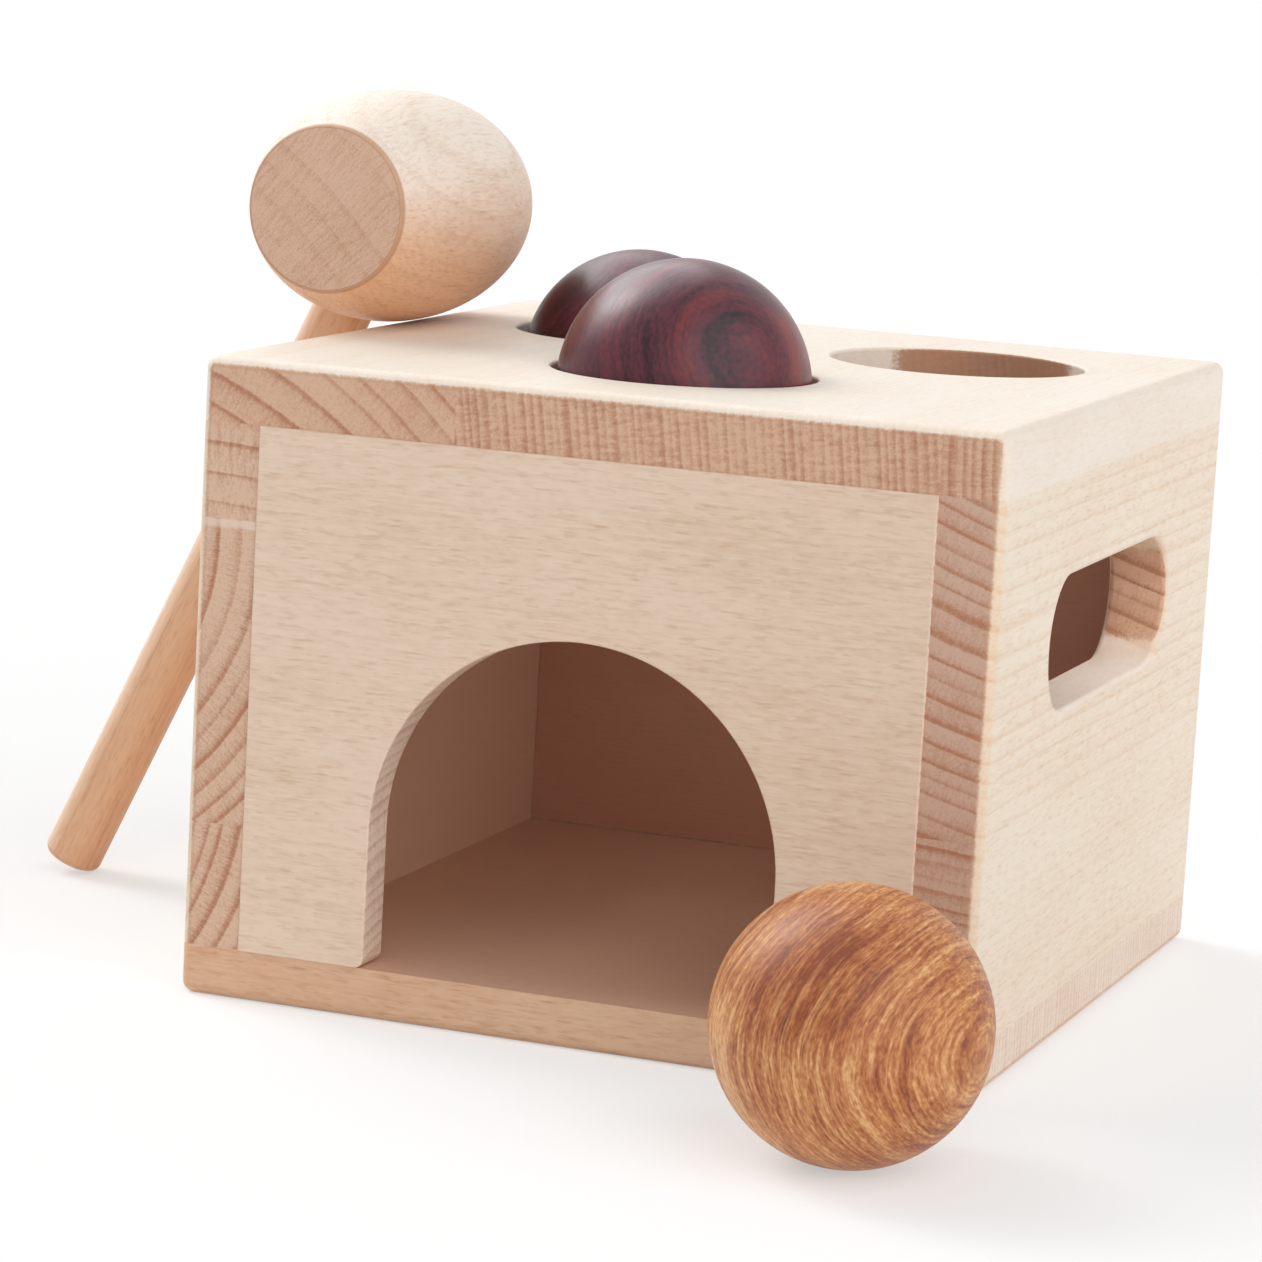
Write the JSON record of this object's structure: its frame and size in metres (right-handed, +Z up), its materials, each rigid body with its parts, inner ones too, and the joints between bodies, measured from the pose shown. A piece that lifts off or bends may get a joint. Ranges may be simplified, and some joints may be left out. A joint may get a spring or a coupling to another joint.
{
  "type": "ball pounding bench",
  "caption": "Small wooden box with ringed round holes in its top that hold balls until a mallet knocks them through to roll out of an arched doorway.",
  "frame": {"origin": "middle of the box's underside, on the surface that the bench stands on", "axes": "+Z up, +X to the right of the doorway front, +Y to the back; the arched doorway faces -Y"},
  "size_m": [0.25, 0.236, 0.1731],
  "materials": {
    "beech_top": "pale beech, fine sanded, waxed",
    "beech_side": "pale beech, fine sanded, waxed",
    "beech_front": "tan beech, fine sanded, waxed",
    "beech_bottom": "warm tan beech, fine sanded, waxed",
    "beech_handle": "orange tan beech dowel, waxed",
    "rosewood": "dark red rosewood, polished",
    "striped_brown": "golden brown striped hardwood, polished",
    "ring": "dark brown elastic cord"
  },
  "bodies": {
    "box": {"bottom_panel": "beech_bottom", "left_board_lower": "beech_side", "left_board_middle": "beech_side", "left_board_upper": "beech_side", "right_board_lower": "beech_side", "right_board_upper": "beech_side", "back_panel": "beech_front", "front_panel": "beech_front", "top_board_left": "beech_top", "top_board_middle": "beech_top", "top_board_right": "beech_top", "ring_front": "ring", "ring_back_left": "ring", "ring_back_right": "ring"},
    "front_ball": {"ball_front": "rosewood"},
    "back_left_ball": {"ball_back_left": "rosewood"},
    "loose_ball": {"ball_loose": "striped_brown"},
    "mallet": {"mallet_head": "beech_side", "mallet_handle": "beech_handle"}
  },
  "joints": [
    {"name": "front_ball_drop", "type": "slide", "parent": "box", "child": "front_ball", "axis": [0, 0, 1], "range_m": [-0.0867, 0], "deforming": ["ring_front"]},
    {"name": "back_left_ball_drop", "type": "slide", "parent": "box", "child": "back_left_ball", "axis": [0, 0, 1], "range_m": [-0.0832, 0], "deforming": ["ring_back_left"]},
    {"name": "loose_ball_lift", "type": "slide", "parent": "box", "child": "loose_ball", "axis": [0, 0, 1], "range_m": [0, 0.13]},
    {"name": "mallet_lift", "type": "slide", "parent": "box", "child": "mallet", "axis": [0, 0, 1], "range_m": [0, 0.13]}
  ]
}
